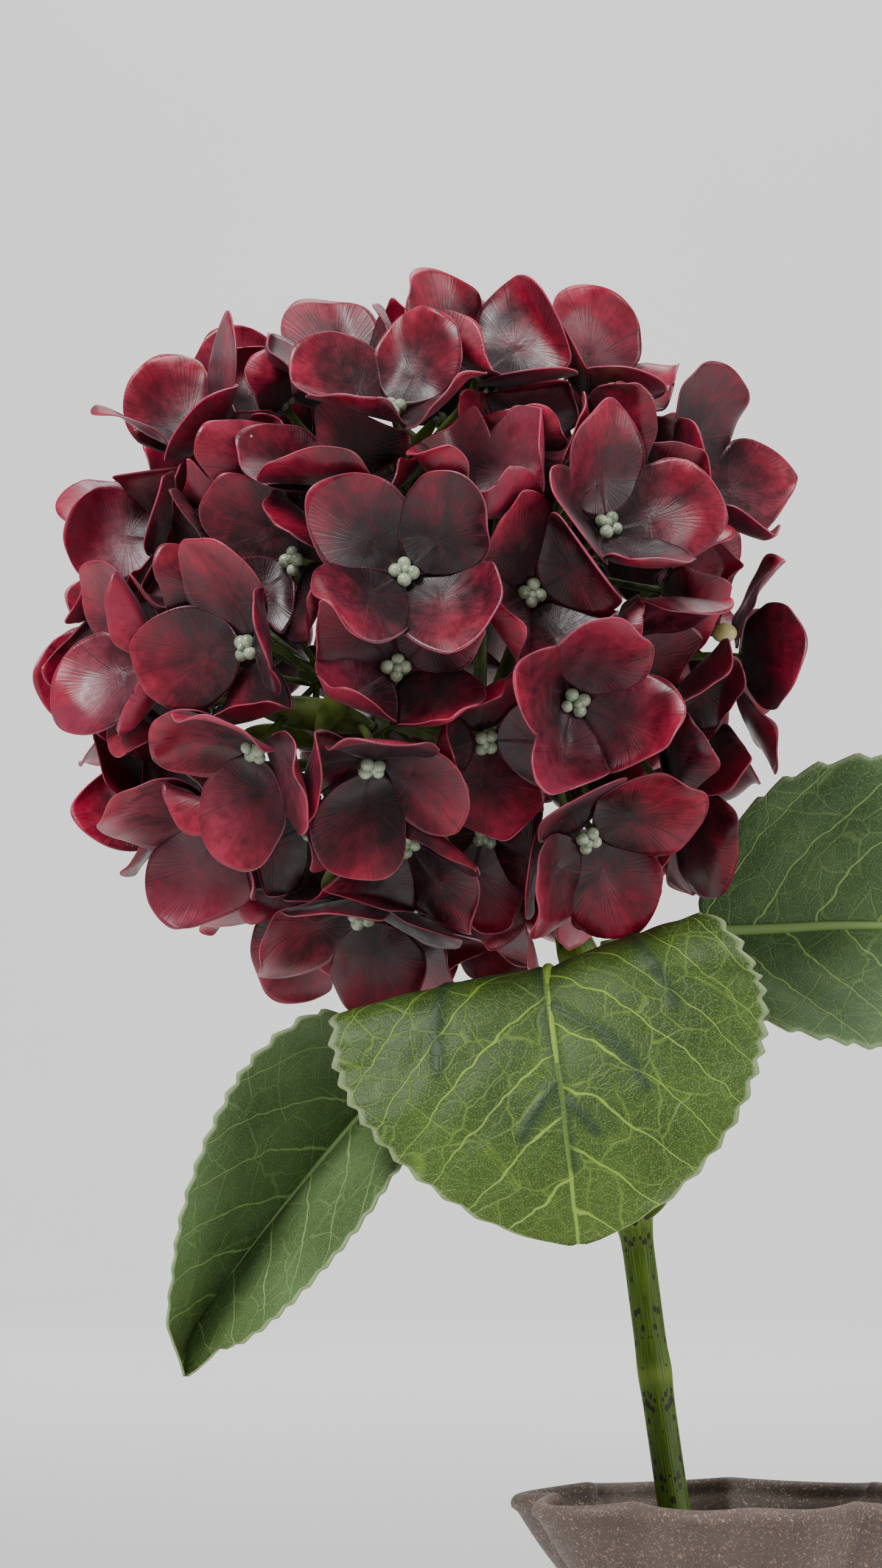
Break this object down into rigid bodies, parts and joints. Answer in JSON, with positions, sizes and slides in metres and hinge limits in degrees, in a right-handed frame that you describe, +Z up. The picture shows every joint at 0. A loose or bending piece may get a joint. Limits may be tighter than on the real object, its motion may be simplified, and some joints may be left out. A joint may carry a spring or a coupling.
{
  "type": "hydrangea in vase",
  "caption": "Dark red mophead hydrangea on its leafy stem, standing in water in a matte taupe vase with a lobed, flared lip and a waisted neck",
  "frame": {"origin": "centre of the vase's flat foot", "axes": "+Z up the vase, +X to the right and -Y towards someone who looks at the front, as in the picture"},
  "size_m": [0.3061, 0.1913, 0.4802],
  "materials": {
    "vase_ceramic": "matte",
    "water": "gloss",
    "stem_green": "satin",
    "leaf_green": "satin",
    "petal_red": "satin"
  },
  "bodies": {
    "root": {"vase": "vase_ceramic", "water": "water", "stem": "stem_green", "leaf_front": "leaf_green", "leaf_left": "leaf_green", "leaf_right": "leaf_green", "flower_head": "petal_red"}
  },
  "joints": []
}
